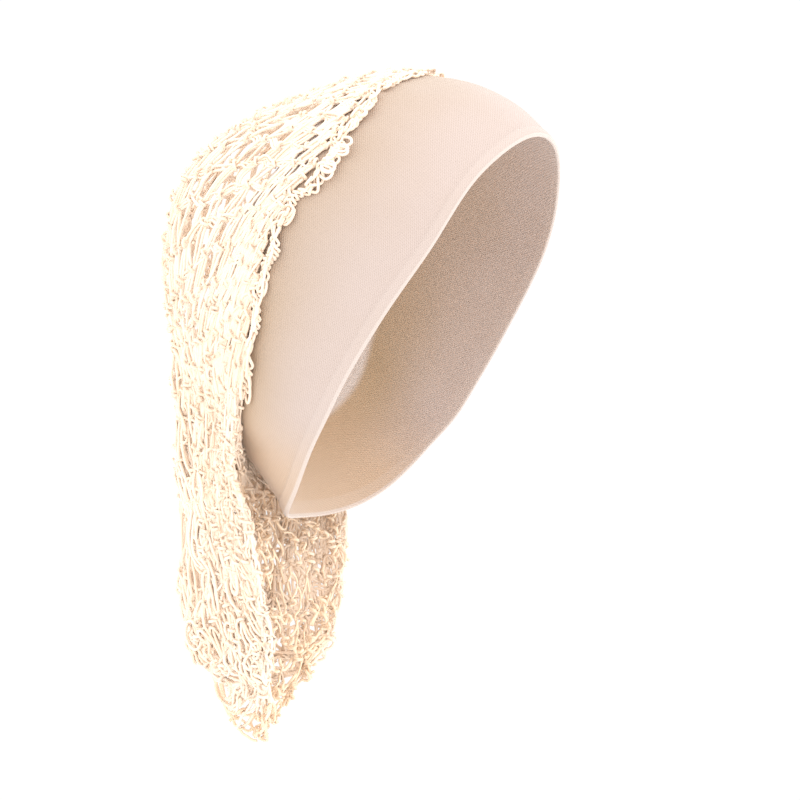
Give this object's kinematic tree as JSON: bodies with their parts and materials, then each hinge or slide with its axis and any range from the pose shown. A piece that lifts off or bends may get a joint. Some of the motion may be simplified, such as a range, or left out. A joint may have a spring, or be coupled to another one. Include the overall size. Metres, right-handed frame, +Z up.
{
  "type": "wig cap",
  "caption": "Crocheted hair net cap: a wide stretch-knit headband with an openwork net bag that hangs behind the neck.",
  "frame": {"origin": "inside top of the worn cap, where the crown of the head sits", "axes": "+Z up, the wearer faces -Y, the wearer's right side is towards -X"},
  "size_m": [0.1612, 0.1876, 0.3126],
  "materials": {
    "headband": "fine matte stretch knit, nude beige",
    "net_bag": "soft cream yarn with a slight sheen, crocheted in an open lens pattern",
    "net_edging": "soft cream yarn, scalloped",
    "gathered_centre": "soft cream yarn, dense spiral of crochet"
  },
  "bodies": {
    "root": {"headband": "headband", "net_bag": "net_bag", "net_edging": "net_edging", "gathered_centre": "gathered_centre"}
  },
  "joints": []
}
